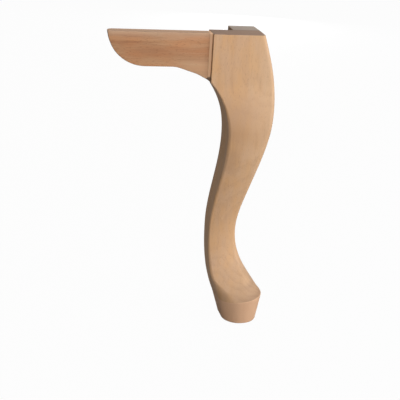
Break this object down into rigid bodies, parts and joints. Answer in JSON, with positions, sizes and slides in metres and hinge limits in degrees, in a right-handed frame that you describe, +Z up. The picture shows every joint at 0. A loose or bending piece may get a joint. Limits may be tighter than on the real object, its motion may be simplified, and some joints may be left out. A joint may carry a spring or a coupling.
{
  "type": "furniture leg",
  "caption": "Wooden cabriole furniture leg with a knee, a thin ankle and a round pad foot, and a shaped ear joined to one side of its notched top block.",
  "frame": {"origin": "centre of the foot's flat base, on the floor", "axes": "+Z up to the top block, -Y towards the front face, -X towards the ear"},
  "size_m": [0.1389, 0.057, 0.25],
  "materials": {
    "leg_beech": "bare, sanded smooth",
    "ear_beech": "bare, sanded smooth",
    "dowel_beech": "bare"
  },
  "bodies": {
    "root": {"leg": "leg_beech", "ear": "ear_beech", "upper_dowel": "dowel_beech", "lower_dowel": "dowel_beech"}
  },
  "joints": []
}
